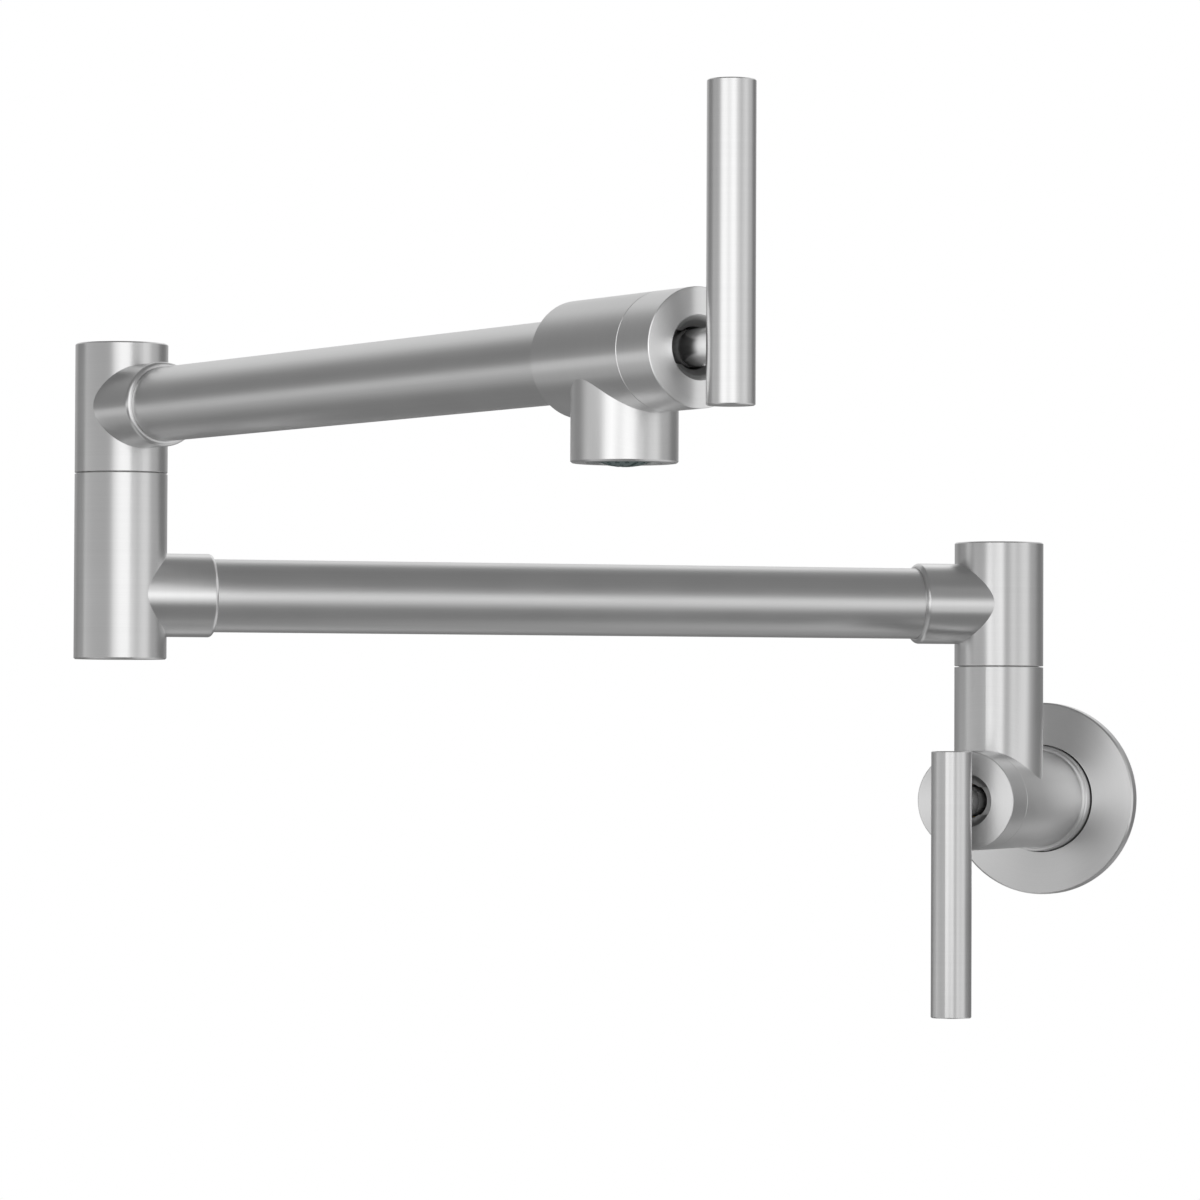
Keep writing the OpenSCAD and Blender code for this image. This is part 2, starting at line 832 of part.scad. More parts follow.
module wall_lever_neck() { color(satin_steel) at_wall_valve() hanging() lever_neck(); }
module wall_lever_screw() { color(screw_steel) at_wall_valve() hanging() lever_screw(); }
module wall_spindle() { color(brass) at_wall_valve() hanging() spindle(); }
module wall_moving_disc() { color(ceramic) at_wall_valve() hanging() moving_disc(); }
module wall_spindle_ring() { color(black_rubber) at_wall_valve() hanging() spindle_ring(); }
module wall_circlip() { color(screw_steel) at_wall_valve() hanging() circlip(); }
module wall_swivel() { color(satin_steel) at_lower_arm() swivel(); }
module wall_swivel_screw() { color(screw_steel) at_lower_arm() swivel_screw(); }
module lower_tube() {
    color(satin_steel) at_lower_arm() arm_tube(tube_start, arm_length - tube_start);
}
module elbow_base() { color(satin_steel) at_elbow_base() elbow_post(); }
module elbow_spigot() { color(brass) at_upper_arm() spigot(); }
module elbow_spigot_rings() { color(black_rubber) at_upper_arm() spigot_rings(); }
module elbow_slip_ring() { color(white_slip) at_upper_arm() slip_ring(); }
module elbow_swivel() { color(satin_steel) at_upper_arm() swivel(); }
module elbow_swivel_screw() { color(screw_steel) at_upper_arm() swivel_screw(); }
module upper_tube() {
    color(satin_steel) at_upper_arm() arm_tube(tube_start, arm_length - seat_back - tube_back_wall);
}
module head_body() { color(satin_steel) at_head() head_valve_body(); }
module head_cap() { color(satin_steel) at_head() cap(); }
module head_sleeve() { color(brass) at_head() sleeve(); }
module head_fixed_disc() { color(ceramic) at_head() fixed_disc(); }
module head_seat_seal() { color(black_rubber) at_head() seat_seal(); }
module head_sleeve_ring() { color(black_rubber) at_head() sleeve_ring(); }
module aerator_housing() { color(aerator_plastic) at_head() at_rim() housing(); }
module aerator_insert() { color(aerator_plastic) at_head() at_rim() insert(); }
module aerator_screen() { color(screw_steel) at_head() at_rim() screen(); }
module aerator_washer() { color(black_rubber) at_head() at_rim() washer(); }
module head_lever_bar() { color(satin_steel) at_head() lever_bar(); }
module head_lever_neck() { color(satin_steel) at_head() lever_neck(); }
module head_lever_screw() { color(screw_steel) at_head() lever_screw(); }
module head_spindle() { color(brass) at_head() spindle(); }
module head_moving_disc() { color(ceramic) at_head() moving_disc(); }
module head_spindle_ring() { color(black_rubber) at_head() spindle_ring(); }
module head_circlip() { color(screw_steel) at_head() circlip(); }

wall_body();
wall_plate();
wall_plate_gasket();
wall_plate_ring();
wall_cap();
wall_sleeve();
wall_fixed_disc();
wall_seat_seal();
wall_sleeve_ring();
wall_spigot();
wall_spigot_rings();
wall_slip_ring();
wall_lever_bar();
wall_lever_neck();
wall_lever_screw();
wall_spindle();
wall_moving_disc();
wall_spindle_ring();
wall_circlip();
wall_swivel();
wall_swivel_screw();
lower_tube();
elbow_base();
elbow_spigot();
elbow_spigot_rings();
elbow_slip_ring();
elbow_swivel();
elbow_swivel_screw();
upper_tube();
head_body();
head_cap();
head_sleeve();
head_fixed_disc();
head_seat_seal();
head_sleeve_ring();
aerator_housing();
aerator_insert();
aerator_screen();
aerator_washer();
head_lever_bar();
head_lever_neck();
head_lever_screw();
head_spindle();
head_moving_disc();
head_spindle_ring();
head_circlip();
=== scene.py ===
"""Looks of a wall mounted pot filler: satin stainless steel outside, brass, ceramic and rubber inside."""

import json
import math

import bpy
import numpy as np
from mathutils import Matrix, Vector


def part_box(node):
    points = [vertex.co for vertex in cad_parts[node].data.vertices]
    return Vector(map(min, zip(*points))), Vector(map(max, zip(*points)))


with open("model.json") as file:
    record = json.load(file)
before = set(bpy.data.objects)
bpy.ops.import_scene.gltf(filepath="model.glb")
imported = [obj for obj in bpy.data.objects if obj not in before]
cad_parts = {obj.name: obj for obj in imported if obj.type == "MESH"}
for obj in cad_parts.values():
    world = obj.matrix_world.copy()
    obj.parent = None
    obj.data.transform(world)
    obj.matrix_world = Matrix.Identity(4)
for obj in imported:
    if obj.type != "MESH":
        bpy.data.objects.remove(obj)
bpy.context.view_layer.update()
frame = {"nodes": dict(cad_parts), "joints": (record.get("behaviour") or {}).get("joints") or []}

nodes = frame["nodes"]
joints = {joint["name"]: joint for joint in frame["joints"]}


# Axes that the finishes follow, taken from the joints and the pieces
def middle(node):
    """Middle of a node's box at rest."""
    low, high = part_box(node)
    return (low + high) / 2


UP = Vector((0, 0, 1))
wall_post = Vector(joints["wall_swivel"]["pos_m"])
elbow_post = Vector(joints["elbow_swivel"]["pos_m"])
wall_face = Vector(joints["wall_lever_turn"]["pos_m"])
head_face = Vector(joints["head_lever_turn"]["pos_m"])
valve_way = Vector(joints["wall_lever_turn"]["axis"])
head_way = Vector(joints["head_lever_turn"]["axis"])
lower_way = (elbow_post - wall_post) * Vector((1, 1, 0))
lower_way.normalize()
lower_middle = middle("lower_tube")
upper_middle = middle("upper_tube")
spout = middle("aerator_insert")
wall_bar = middle("wall_lever_bar")
head_bar = middle("head_lever_bar")

# Radii of the part in metres, and how far past one a finish changes over
POST_R = 0.0140
VALVE_R = 0.0155
MOUTH_R = 0.0106
SKIN = 0.00006

# Depths of the painted shade that darkens the caps' mouths and the necks in them, and the points on the necks
# where that painted shade ends
WALL_MOUTH_DEPTH = 0.0034
HEAD_MOUTH_DEPTH = 0.0016
NECK_DEPTH = 0.0055
wall_neck_foot = wall_face + valve_way * 0.0055
head_neck_foot = head_face + head_way * 0.0015

# Most of a noise texture lies between these two values
NOISE_LOW, NOISE_HIGH = 0.3, 0.7

# Marks of the satin finish: lines per metre, the share of them that a mark drifts by, and relief in metres
MARK_LINES = 5000.0
MARK_SWEEP = 0.003
MARK_RELIEF = 0.00000008
BROAD_SCALE = 0.09
FINE_TONE = 0.016
BROAD_TONE = 0.010
CLOUD_TONE = (0.985, 1.010)
# Share by which the chamfers are painted brighter, a painted highlight
EDGE_HIGHLIGHT_TONE = 0.04

# Roughness added by clouding. The steel's own roughness is set so that each piece stays on one side of
# 0.274, where the renderer's denoiser changes its mind about a metal and would draw a thin line.
CLOUD_ROUGH = (-0.012, 0.016)

# Cosines of the slope to an axis: end faces lie above the first, and chamfers lie round the second
FACE_COSINE = 0.7
EDGE_COSINE = 0.707
EDGE_CORE, EDGE_FADE = 0.12, 0.24


# Node tree helpers
def add_node(tree, kind, **values):
    """New node in a tree, with its properties set by name and its unlinked inputs by in_ and their name."""
    node = tree.nodes.new(kind)
    for key, value in values.items():
        if key.startswith("in_"):
            node.inputs[key[3:]].default_value = value
        else:
            setattr(node, key, value)
    return node


def feed(tree, source, target):
    """Link from an output socket to an input socket; plain values are set on the input."""
    if isinstance(source, bpy.types.NodeSocket):
        tree.links.new(source, target)
    else:
        target.default_value = source


def vector(tree, operation, a, b=None):
    """Vector Math node; its vector result, or its value for a dot product, length or distance."""
    node = add_node(tree, "ShaderNodeVectorMath", operation=operation)
    for socket, value in zip(node.inputs, (a, b)):
        if value is not None:
            feed(tree, value, socket)
    return node.outputs["Value" if operation in ("DOT_PRODUCT", "LENGTH", "DISTANCE") else "Vector"]


def scaled(tree, a, factor):
    """A vector times a number."""
    node = add_node(tree, "ShaderNodeVectorMath", operation="SCALE")
    feed(tree, a, node.inputs[0])
    feed(tree, factor, node.inputs["Scale"])
    return node.outputs["Vector"]


def number(tree, operation, a, b=None, c=None):
    """Math node's result."""
    node = add_node(tree, "ShaderNodeMath", operation=operation)
    for socket, value in zip(node.inputs, (a, b, c)):
        if value is not None:
            feed(tree, value, socket)
    return node.outputs[0]


def spread(tree, value, low, high, to_low=0.0, to_high=1.0, smooth=False):
    """Map Range node: a value between low and high goes to a value between to_low and to_high."""
    node = add_node(tree, "ShaderNodeMapRange", interpolation_type="SMOOTHSTEP" if smooth else "LINEAR")
    for socket, entry in zip(node.inputs, (value, low, high, to_low, to_high)):
        feed(tree, entry, socket)
    return node.outputs["Result"]


def from_noise(tree, noise, to_low, to_high):
    """A noise's usual range, brought to the range between to_low and to_high."""
    return spread(tree, noise, NOISE_LOW, NOISE_HIGH, to_low, to_high)


def mix_value(tree, factor, a, b):
    """Value a where the factor is 0 and b where it is 1."""
    node = add_node(tree, "ShaderNodeMix", data_type="FLOAT")
    feed(tree, factor, node.inputs[0])
    feed(tree, a, node.inputs[2])
    feed(tree, b, node.inputs[3])
    return node.outputs[0]


def mix_vector(tree, factor, a, b):
    """Vector a where the factor is 0 and b where it is 1."""
    node = add_node(tree, "ShaderNodeMix", data_type="VECTOR")
    feed(tree, factor, node.inputs[0])
    feed(tree, a, node.inputs[4])
    feed(tree, b, node.inputs[5])
    return node.outputs[1]


def reach_from(tree, local, axis):
    """Distance from an axis of a place that is counted from a point on it."""
    return vector(tree, "LENGTH", vector(tree, "CROSS_PRODUCT", local, axis))


def facing_along(tree, slope, axis):
    """Cosine of the slope to an axis, without its sign: 0 on a barrel round it and 1 on an end face."""
    return number(tree, "ABSOLUTE", vector(tree, "DOT_PRODUCT", slope, axis))


def open_group(name, inputs, outputs):
    """New shader node group with its sockets; gives the tree, its input and its output node."""
    tree = bpy.data.node_groups.new(name, "ShaderNodeTree")
    for label, kind, default in inputs:
        socket = tree.interface.new_socket(label, in_out="INPUT", socket_type=kind)
        socket.default_value = default
    for label in outputs:
        tree.interface.new_socket(label, in_out="OUTPUT", socket_type="NodeSocketFloat")
    return tree, tree.nodes.new("NodeGroupInput"), tree.nodes.new("NodeGroupOutput")


# Effects shared by the metals
POSITION = ("Position", "NodeSocketVector", (0, 0, 0))
SLOPE = ("Slope", "NodeSocketVector", (0, 0, 1))
ORIGIN = ("Origin", "NodeSocketVector", (0, 0, 0))
AXIS = ("Axis", "NodeSocketVector", (0, 0, 1))
LINES = ("Lines", "NodeSocketFloat", MARK_LINES)
SWEEP = ("Sweep", "NodeSocketFloat", MARK_LINES * MARK_SWEEP)


def read_marks(tree, place, result):
    """Fine noise at a place to the group's Fine output, and a broad one to its Broad output."""
    fine = add_node(tree, "ShaderNodeTexNoise", in_Scale=1.0, in_Detail=2.0, in_Roughness=0.6)
    feed(tree, place, fine.inputs["Vector"])
    feed(tree, fine.outputs["Fac"], result.inputs["Fine"])
    broad = add_node(tree, "ShaderNodeTexNoise", in_Scale=BROAD_SCALE, in_Detail=3.0, in_Roughness=0.55)
    feed(tree, place, broad.inputs["Vector"])
    feed(tree, broad.outputs["Fac"], result.inputs["Broad"])


def make_turning_marks():
    """Marks of a lathe or polishing belt that runs round an axis.

    h is the height along the axis and r the distance from it. Round a barrel the noise is read at h
    times the lines per metre, and on an end face at r times them, plus the position times a small
    sweep, so each mark is a long arc round the axis. The slope of the surface says which of the two.
    """
    tree, given, result = open_group(
        "turning marks", [POSITION, SLOPE, ORIGIN, AXIS, LINES, SWEEP], ["Fine", "Broad"]
    )
    axis = given.outputs["Axis"]
    local = vector(tree, "SUBTRACT", given.outputs["Position"], given.outputs["Origin"])
    h = vector(tree, "DOT_PRODUCT", local, axis)
    r = reach_from(tree, local, axis)
    on_face = number(tree, "GREATER_THAN", facing_along(tree, given.outputs["Slope"], axis), FACE_COSINE)
    pair = add_node(tree, "ShaderNodeCombineXYZ")
    feed(tree, mix_value(tree, on_face, h, r), pair.inputs["X"])
    feed(tree, on_face, pair.inputs["Y"])
    lines = scaled(tree, pair.outputs["Vector"], given.outputs["Lines"])
    read_marks(tree, vector(tree, "ADD", lines, scaled(tree, local, given.outputs["Sweep"])), result)
    return tree


def make_long_marks():
    """Belt marks that run along an axis: noise read closely across the axis and slowly along it."""
    tree, given, result = open_group(
        "long marks", [POSITION, ORIGIN, AXIS, LINES, SWEEP], ["Fine", "Broad"]
    )
    axis = given.outputs["Axis"]
    local = vector(tree, "SUBTRACT", given.outputs["Position"], given.outputs["Origin"])
    along = scaled(tree, axis, vector(tree, "DOT_PRODUCT", local, axis))
    across = scaled(tree, vector(tree, "SUBTRACT", local, along), given.outputs["Lines"])
    read_marks(tree, vector(tree, "ADD", across, scaled(tree, along, given.outputs["Sweep"])), result)
    return tree


def make_handling():
    """Faint clouding of a metal that has been wiped and touched: a slow noise, bent a little by itself."""
    tree, given, result = open_group("handling", [POSITION, ("Scale", "NodeSocketFloat", 40.0)], ["Cloud"])
    slow = add_node(tree, "ShaderNodeTexNoise", in_Detail=3.0, in_Roughness=0.5, in_Distortion=0.4)
    feed(tree, given.outputs["Position"], slow.inputs["Vector"])
    feed(tree, given.outputs["Scale"], slow.inputs["Scale"])
    feed(tree, slow.outputs["Fac"], result.inputs["Cloud"])
    return tree


def make_painted_edge_highlight():
    """Mask of the chamfers between a barrel and an end face, where the metal is painted brighter as a painted
    highlight.

    It is a smooth pulse on the slope's cosine to the axis: 0 on barrels and faces, 1 halfway between.
    """
    tree, given, result = open_group("painted edge highlight", [SLOPE, AXIS], ["Edge"])
    facing = facing_along(tree, given.outputs["Slope"], given.outputs["Axis"])
    apart = number(tree, "ABSOLUTE", number(tree, "SUBTRACT", facing, EDGE_COSINE))
    feed(tree, spread(tree, apart, EDGE_CORE, EDGE_FADE, 1.0, 0.0, smooth=True), result.inputs["Edge"])
    return tree


def make_painted_mouth_shade():
    """Painted shade and dullness of a mouth that turns in from a face.

    A point nearer to the axis than the radius counts as inside. Its painted shade falls from 1 to the dark
    value in a smooth step on its depth below the origin, and the last share of that depth turns dull.
    """
    tree, given, result = open_group(
        "painted mouth shade",
        [
            POSITION, ORIGIN, AXIS,
            ("Radius", "NodeSocketFloat", 0.01),
            ("Depth", "NodeSocketFloat", 0.002),
            ("Dark", "NodeSocketFloat", 0.5),
            ("Dull Share", "NodeSocketFloat", 0.2),
        ],
        ["Shade", "Dull"],
    )
    axis = given.outputs["Axis"]
    local = vector(tree, "SUBTRACT", given.outputs["Position"], given.outputs["Origin"])
    h = vector(tree, "DOT_PRODUCT", local, axis)
    low = number(tree, "MULTIPLY", given.outputs["Depth"], -1.0)
    shade = spread(tree, h, low, 0.0, given.outputs["Dark"], 1.0, smooth=True)
    inside = number(tree, "LESS_THAN", reach_from(tree, local, axis), given.outputs["Radius"])
    feed(tree, mix_value(tree, inside, 1.0, shade), result.inputs["Shade"])
    keen = number(tree, "MULTIPLY", low, number(tree, "SUBTRACT", 1.0, given.outputs["Dull Share"]))
    dull = spread(tree, h, low, keen, 1.0, 0.0, smooth=True)
    feed(tree, number(tree, "MULTIPLY", inside, dull), result.inputs["Dull"])
    return tree


turning_marks = make_turning_marks()
long_marks = make_long_marks()
handling = make_handling()
painted_edge_highlight = make_painted_edge_highlight()
# Painted shade for the mouths of the caps and for the necks in them
painted_mouth_shade = make_painted_mouth_shade()


def place_group(tree, group, inputs):
    """Group node of a shared effect, with inputs linked or set by name."""
    node = add_node(tree, "ShaderNodeGroup", node_tree=group)
    for name, value in inputs.items():
        feed(tree, value, node.inputs[name])
    return node.outputs


def start_material(name):
    """New node material; gives the material, its tree, its Principled shader and the object position."""
    material = bpy.data.materials.new(name)
    material.use_nodes = True
    tree = material.node_tree
    shader = tree.nodes["Principled BSDF"]
    position = add_node(tree, "ShaderNodeTexCoord").outputs["Object"]
    return material, tree, shader, position


def add_relief(tree, shader, height, relief):
    """Bump of a height pattern on a shader, relief metres deep."""
    bump = add_node(tree, "ShaderNodeBump", in_Strength=1.0, in_Distance=relief)
    feed(tree, height, bump.inputs["Height"])
    feed(tree, bump.outputs["Normal"], shader.inputs["Normal"])


# Where the marks of a piece run
def turned(origin, axis, *tests):
    """Marks round an axis through origin, on the surface where all the tests hold."""
    return tuple(origin), tuple(axis), False, tests


def drawn(origin, axis):
    """Marks along an axis through origin."""
    return tuple(origin), tuple(axis), True, ()


def beyond(origin, axis, radius):
    """Test for a point that lies further than a radius from an axis."""
    return "GREATER_THAN", tuple(origin), tuple(axis), radius + SKIN


def within(origin, axis, radius):
    """Test for a point that lies nearer than a radius to an axis."""
    return "LESS_THAN", tuple(origin), tuple(axis), radius - SKIN


def marks_of_run(tree, position, slope, run):
    """Fine and broad marks, the direction that they run in and the mask of the chamfers' painted highlight,
    for one run.
    """
    origin, axis, along, _ = run
    given = {
        "Position": position, "Origin": origin, "Axis": axis,
        "Lines": MARK_LINES, "Sweep": MARK_LINES * MARK_SWEEP,
    }
    if along:
        marks = place_group(tree, long_marks, given)
        tangent = vector(tree, "ADD", axis, (0, 0, 0))
    else:
        marks = place_group(tree, turning_marks, {**given, "Slope": slope})
        local = vector(tree, "SUBTRACT", position, origin)
        tangent = vector(tree, "NORMALIZE", vector(tree, "CROSS_PRODUCT", axis, local))
    edge = place_group(tree, painted_edge_highlight, {"Slope": slope, "Axis": axis})["Edge"]
    return marks["Fine"], marks["Broad"], tangent, edge


def steel(name, color, roughness, runs, anisotropy=0.6, mouth=None):
    """Satin steel or brass whose fine marks go round or along one or two axes.

    The first run holds everywhere, and a later one takes over where all its tests hold. The tone is 1
    plus small shares of the fine and broad marks, the clouding and a painted highlight on the chamfers.
    The marks set the tangent that the gloss is drawn out across, and the clouding shifts the roughness a
    little.

    mouth is (origin, axis, radius, depth, dark, dull share): inside that radius the tone falls to dark
    over the depth below the origin as painted shade, and the metal turns dull over the last share of it.
    """
    material, tree, shader, position = start_material(name)
    slope = add_node(tree, "ShaderNodeTexCoord").outputs["Normal"]
    shader.inputs["Metallic"].default_value = 1.0
    shader.inputs["Anisotropic"].default_value = anisotropy
    shader.inputs["Anisotropic Rotation"].default_value = 0.25
    fine, broad, tangent, edge = marks_of_run(tree, position, slope, runs[0])
    for run in runs[1:]:
        run_fine, run_broad, run_tangent, run_edge = marks_of_run(tree, position, slope, run)
        holds = 1.0
        for comparison, origin, axis, radius in run[3]:
            reach = reach_from(tree, vector(tree, "SUBTRACT", position, origin), axis)
            holds = number(tree, "MULTIPLY", number(tree, comparison, reach, radius), holds)
        fine = mix_value(tree, holds, fine, run_fine)
        broad = mix_value(tree, holds, broad, run_broad)
        tangent = mix_vector(tree, holds, tangent, run_tangent)
        edge = mix_value(tree, holds, edge, run_edge)
    world_tangent = add_node(
        tree, "ShaderNodeVectorTransform", vector_type="VECTOR", convert_from="OBJECT", convert_to="WORLD"
    )
    feed(tree, tangent, world_tangent.inputs["Vector"])
    feed(tree, world_tangent.outputs["Vector"], shader.inputs["Tangent"])

    cloud = place_group(tree, handling, {"Position": position})["Cloud"]
    tone = number(
        tree, "ADD",
        from_noise(tree, fine, -FINE_TONE, FINE_TONE), from_noise(tree, broad, -BROAD_TONE, BROAD_TONE),
    )
    tone = number(tree, "ADD", tone, from_noise(tree, cloud, *CLOUD_TONE))
    # Painted highlight: the tone on the chamfers is raised
    tone = number(tree, "MULTIPLY_ADD", edge, EDGE_HIGHLIGHT_TONE, tone)
    # Painted shade: inside a mouth the tone is darkened with depth, and the metal turns dull
    if mouth:
        origin, axis, radius, depth, dark, dull_share = mouth
        mouth_painted_shade = place_group(tree, painted_mouth_shade, {
            "Position": position, "Origin": tuple(origin), "Axis": tuple(axis),
            "Radius": radius, "Depth": depth, "Dark": dark, "Dull Share": dull_share,
        })
        tone = number(tree, "MULTIPLY", tone, mouth_painted_shade["Shade"])
        feed(tree, number(tree, "SUBTRACT", 1.0, mouth_painted_shade["Dull"]), shader.inputs["Metallic"])
    feed(tree, scaled(tree, color, tone), shader.inputs["Base Color"])
    low, high = (roughness + shift for shift in CLOUD_ROUGH)
    feed(tree, from_noise(tree, cloud, low, high), shader.inputs["Roughness"])
    add_relief(tree, shader, fine, MARK_RELIEF)
    return material


def plain(name, color, roughness, grain, relief, variation, metallic=0.0):
    """Cast, moulded or lapped surface: one fine grain moves its tone, roughness and relief.

    The tone is 1 plus or minus the variation with the grain, and as much again with slow clouding.
    """
    material, tree, shader, position = start_material(name)
    shader.inputs["Metallic"].default_value = metallic
    noise = add_node(tree, "ShaderNodeTexNoise", in_Scale=grain, in_Detail=3.0, in_Roughness=0.6)
    feed(tree, position, noise.inputs["Vector"])
    grains = noise.outputs["Fac"]
    cloud = place_group(tree, handling, {"Position": position, "Scale": 60.0})["Cloud"]
    tone = number(
        tree, "ADD", from_noise(tree, grains, -variation, variation),
        from_noise(tree, cloud, 1 - variation, 1 + variation / 2),
    )
    feed(tree, scaled(tree, color, tone), shader.inputs["Base Color"])
    feed(tree, from_noise(tree, grains, roughness - 0.04, roughness + 0.04), shader.inputs["Roughness"])
    add_relief(tree, shader, grains, relief)
    return material


# Colours and roughness of the metals. The caps and the necks are the same steel as the rest, set darker
# or lighter to stand in for the light they get: painted light and shade.
STEEL = (0.72, 0.72, 0.72)
WALL_CAP_PAINTED_SHADE = (0.70, 0.70, 0.70)
HEAD_CAP_PAINTED_LIGHT = (0.79, 0.79, 0.79)
NECK = (0.84, 0.84, 0.84)
BRASS = (0.78, 0.58, 0.27)
BODY_ROUGH = 0.288
SATIN_ROUGH = 0.30
NECK_ROUGH = 0.25

on_wall_post = turned(wall_post, UP)
on_elbow_post = turned(elbow_post, UP)
on_wall_valve = turned(wall_face, valve_way)
on_head_valve = turned(head_face, head_way)
post_of_wall_valve = turned(
    wall_post, UP, beyond(wall_face, valve_way, VALVE_R), within(wall_post, UP, POST_R)
)
spout_of_head = turned(spout, UP, beyond(head_face, head_way, VALVE_R), within(spout, UP, POST_R))
wall_socket = turned(lower_middle, lower_way, beyond(wall_post, UP, POST_R))
elbow_lower_socket = turned(lower_middle, lower_way, beyond(elbow_post, UP, POST_R))
elbow_upper_socket = turned(upper_middle, head_way, beyond(elbow_post, UP, POST_R))

finishes = {
    "wall_body": steel("wall valve steel", STEEL, BODY_ROUGH, [on_wall_valve, post_of_wall_valve]),
    "wall_plate": steel("wall plate steel", STEEL, SATIN_ROUGH, [on_wall_valve]),
    # The caps' mouths get painted shade that darkens with depth
    "wall_cap": steel(
        "wall cap steel", WALL_CAP_PAINTED_SHADE, SATIN_ROUGH, [on_wall_valve],
        mouth=(wall_face, valve_way, MOUTH_R, WALL_MOUTH_DEPTH, 0.85, 0.8),
    ),
    "wall_swivel": steel("wall swivel steel", STEEL, BODY_ROUGH, [on_wall_post, wall_socket]),
    "lower_tube": steel("lower tube steel", STEEL, SATIN_ROUGH, [drawn(lower_middle, lower_way)]),
    "elbow_base": steel("elbow base steel", STEEL, BODY_ROUGH, [on_elbow_post, elbow_lower_socket]),
    "elbow_swivel": steel("elbow swivel steel", STEEL, BODY_ROUGH, [on_elbow_post, elbow_upper_socket]),
    "upper_tube": steel("upper tube steel", STEEL, SATIN_ROUGH, [drawn(upper_middle, head_way)]),
    "head_body": steel("head steel", STEEL, BODY_ROUGH, [on_head_valve, spout_of_head]),
    "head_cap": steel(
        "head cap steel", HEAD_CAP_PAINTED_LIGHT, SATIN_ROUGH, [on_head_valve],
        mouth=(head_face, head_way, MOUTH_R, HEAD_MOUTH_DEPTH, 0.14, 0.7),
    ),
    "wall_lever_bar": steel("wall lever steel", STEEL, SATIN_ROUGH, [turned(wall_bar, UP)], anisotropy=0.3),
    "head_lever_bar": steel("head lever steel", STEEL, SATIN_ROUGH, [turned(head_bar, UP)], anisotropy=0.3),
    # The necks get painted shade where they go into the mouths
    "wall_lever_neck": steel(
        "wall neck steel", NECK, NECK_ROUGH, [on_wall_valve], anisotropy=0.0,
        mouth=(wall_neck_foot, valve_way, MOUTH_R, NECK_DEPTH, 0.12, 0.3),
    ),
    "head_lever_neck": steel(
        "head neck steel", NECK, NECK_ROUGH, [on_head_valve], anisotropy=0.0,
        mouth=(head_neck_foot, head_way, MOUTH_R, NECK_DEPTH, 0.35, 0.4),
    ),
}
wall_brass = steel("wall brass", BRASS, SATIN_ROUGH, [on_wall_valve])
head_brass = steel("head brass", BRASS, SATIN_ROUGH, [on_head_valve])
finishes.update({
    "wall_sleeve": wall_brass,
    "wall_spindle": wall_brass,
    "head_sleeve": head_brass,
    "head_spindle": head_brass,
    "wall_spigot": steel("wall spigot brass", BRASS, SATIN_ROUGH, [on_wall_post]),
    "elbow_spigot": steel("elbow spigot brass", BRASS, SATIN_ROUGH, [on_elbow_post]),
})

# Name, colour, roughness, grains per metre, relief in metres and variation of tone
disc_ceramic = plain("disc ceramic", (0.86, 0.84, 0.78), 0.18, 2500.0, 0.000002, 0.02)
seal_rubber = plain("seal rubber", (0.022, 0.022, 0.024), 0.55, 1800.0, 0.000012, 0.15)
slip_plastic = plain("slip plastic", (0.82, 0.82, 0.80), 0.42, 1400.0, 0.000006, 0.02)
aerator_plastic = plain("aerator plastic", (0.075, 0.105, 0.105), 0.38, 1600.0, 0.000010, 0.10)
fastener_steel = plain("fastener steel", (0.50, 0.50, 0.51), 0.32, 2200.0, 0.000004, 0.06, metallic=1.0)
# Lever screws are polished, lower in roughness than the other fasteners, and painted brighter in colour as a
# painted highlight, so that they show a glint
lever_screw_glint_steel = plain("lever screw glint steel", (0.85, 0.85, 0.85), 0.20, 2200.0, 0.000002, 0.04, metallic=1.0)

# What the ends of the other pieces' names say of their material; the rest are seals
FINISH_BY_ENDING = [
    ("disc", disc_ceramic),
    ("slip_ring", slip_plastic),
    (("aerator_housing", "aerator_insert"), aerator_plastic),
    ("lever_screw", lever_screw_glint_steel),
    (("screw", "circlip", "screen"), fastener_steel),
    ("", seal_rubber),
]
for node, piece in nodes.items():
    if node not in finishes:
        finishes[node] = next(finish for ending, finish in FINISH_BY_ENDING if node.endswith(ending))
    piece.data.materials.clear()
    piece.data.materials.append(finishes[node])


# Camera, solved from the photograph's edges
PHOTO_SIDE = 1200.0
FOCAL_PIXELS = 5400.0
SENSOR_MM = 36.0
CAMERA_PLACE = (0.50093, -1.68717, 0.01961)
YAW, PITCH, ROLL = (math.radians(angle) for angle in (21.244, 1.443, 0.234))


def make_camera():
    """Pinhole camera: yaw turns it to the left, pitch tips it up, roll turns the picture."""
    forward = Vector((-math.sin(YAW) * math.cos(PITCH), math.cos(YAW) * math.cos(PITCH), math.sin(PITCH)))
    level = Vector((math.cos(YAW), math.sin(YAW), 0))
    upright = level.cross(forward)
    right = level * math.cos(ROLL) + upright * math.sin(ROLL)
    top = upright * math.cos(ROLL) - level * math.sin(ROLL)
    data = bpy.data.cameras.new("camera")
    data.sensor_width = SENSOR_MM
    data.lens = FOCAL_PIXELS * SENSOR_MM / PHOTO_SIDE
    data.clip_start = 0.05
    data.clip_end = 30.0
    camera = bpy.data.objects.new("camera", data)
    turn = Matrix((right, top, -forward)).transposed().to_4x4()
    camera.matrix_world = Matrix.Translation(CAMERA_PLACE) @ turn
    bpy.context.scene.collection.objects.link(camera)
    bpy.context.scene.camera = camera


